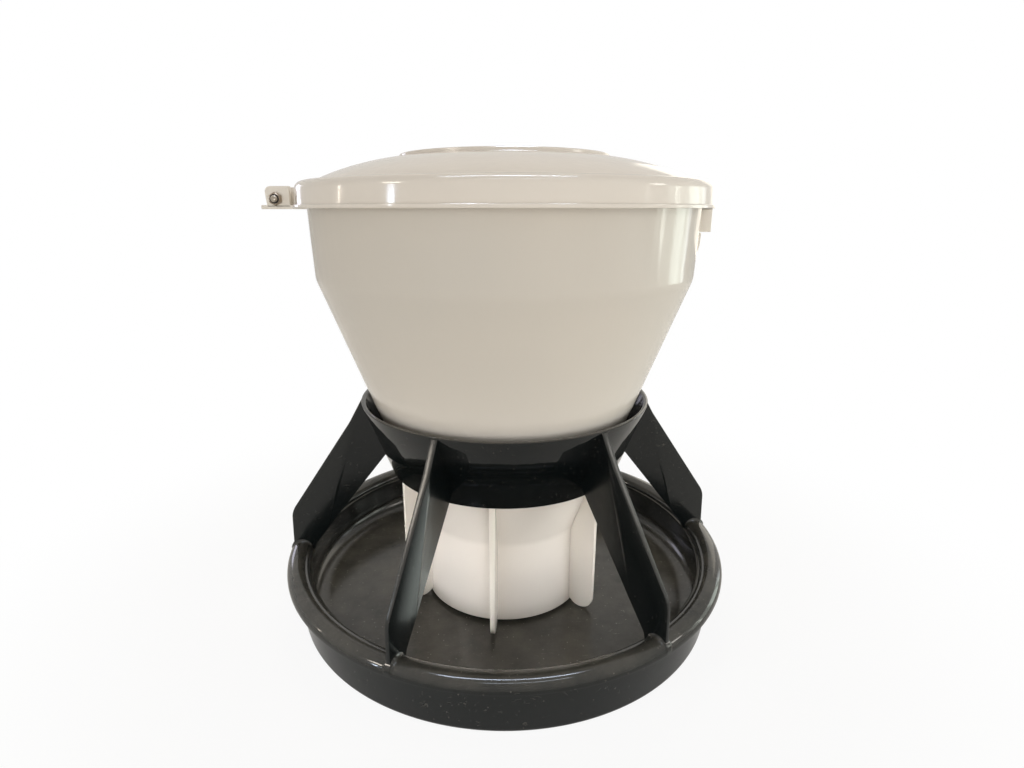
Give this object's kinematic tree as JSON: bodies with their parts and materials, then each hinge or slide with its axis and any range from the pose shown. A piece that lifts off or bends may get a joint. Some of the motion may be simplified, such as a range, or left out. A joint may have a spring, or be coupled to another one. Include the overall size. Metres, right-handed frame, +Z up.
{
  "type": "piglet feeder",
  "caption": "Round feed pan with a legged collar on its rim and a turning hopper with paddles, a hinged lid and a snap latch.",
  "frame": {"origin": "centre of the floor bolt hole at the floor, under the middle of the pan", "axes": "+Z up along the pan's axis, -Y to the front, the lid's hinge on -X and its latch on +X"},
  "size_m": [0.302, 0.302, 0.2982],
  "materials": {
    "black_plastic": "moulded polypropylene, satin gloss",
    "natural_plastic": "natural polypropylene, slightly translucent, satin gloss",
    "zinc_steel": "bright zinc plated"
  },
  "bodies": {
    "stand": {"feed_pan": "black_plastic", "stand_frame": "black_plastic"},
    "hopper": {"hopper": "natural_plastic", "hinge_bolt": "zinc_steel", "hinge_nut": "zinc_steel"},
    "lid": {"lid": "natural_plastic"},
    "latch": {"lid_latch": "natural_plastic"}
  },
  "joints": [
    {"name": "hopper_turn", "type": "hinge", "parent": "stand", "child": "hopper", "pos_m": [0, 0, 0], "axis": [0, 0, 1], "continuous": true},
    {"name": "lid_hinge", "type": "hinge", "parent": "hopper", "child": "lid", "pos_m": [-0.1384, 0, 0.2708], "axis": [0, -1, 0], "range_deg": [0, 120]},
    {"name": "latch_flex", "type": "hinge", "parent": "lid", "child": "latch", "pos_m": [0.1274, 0, 0.265], "axis": [0, -1, 0], "range_deg": [0, 35], "stiffness_Nm_per_rad": 0.02}
  ]
}
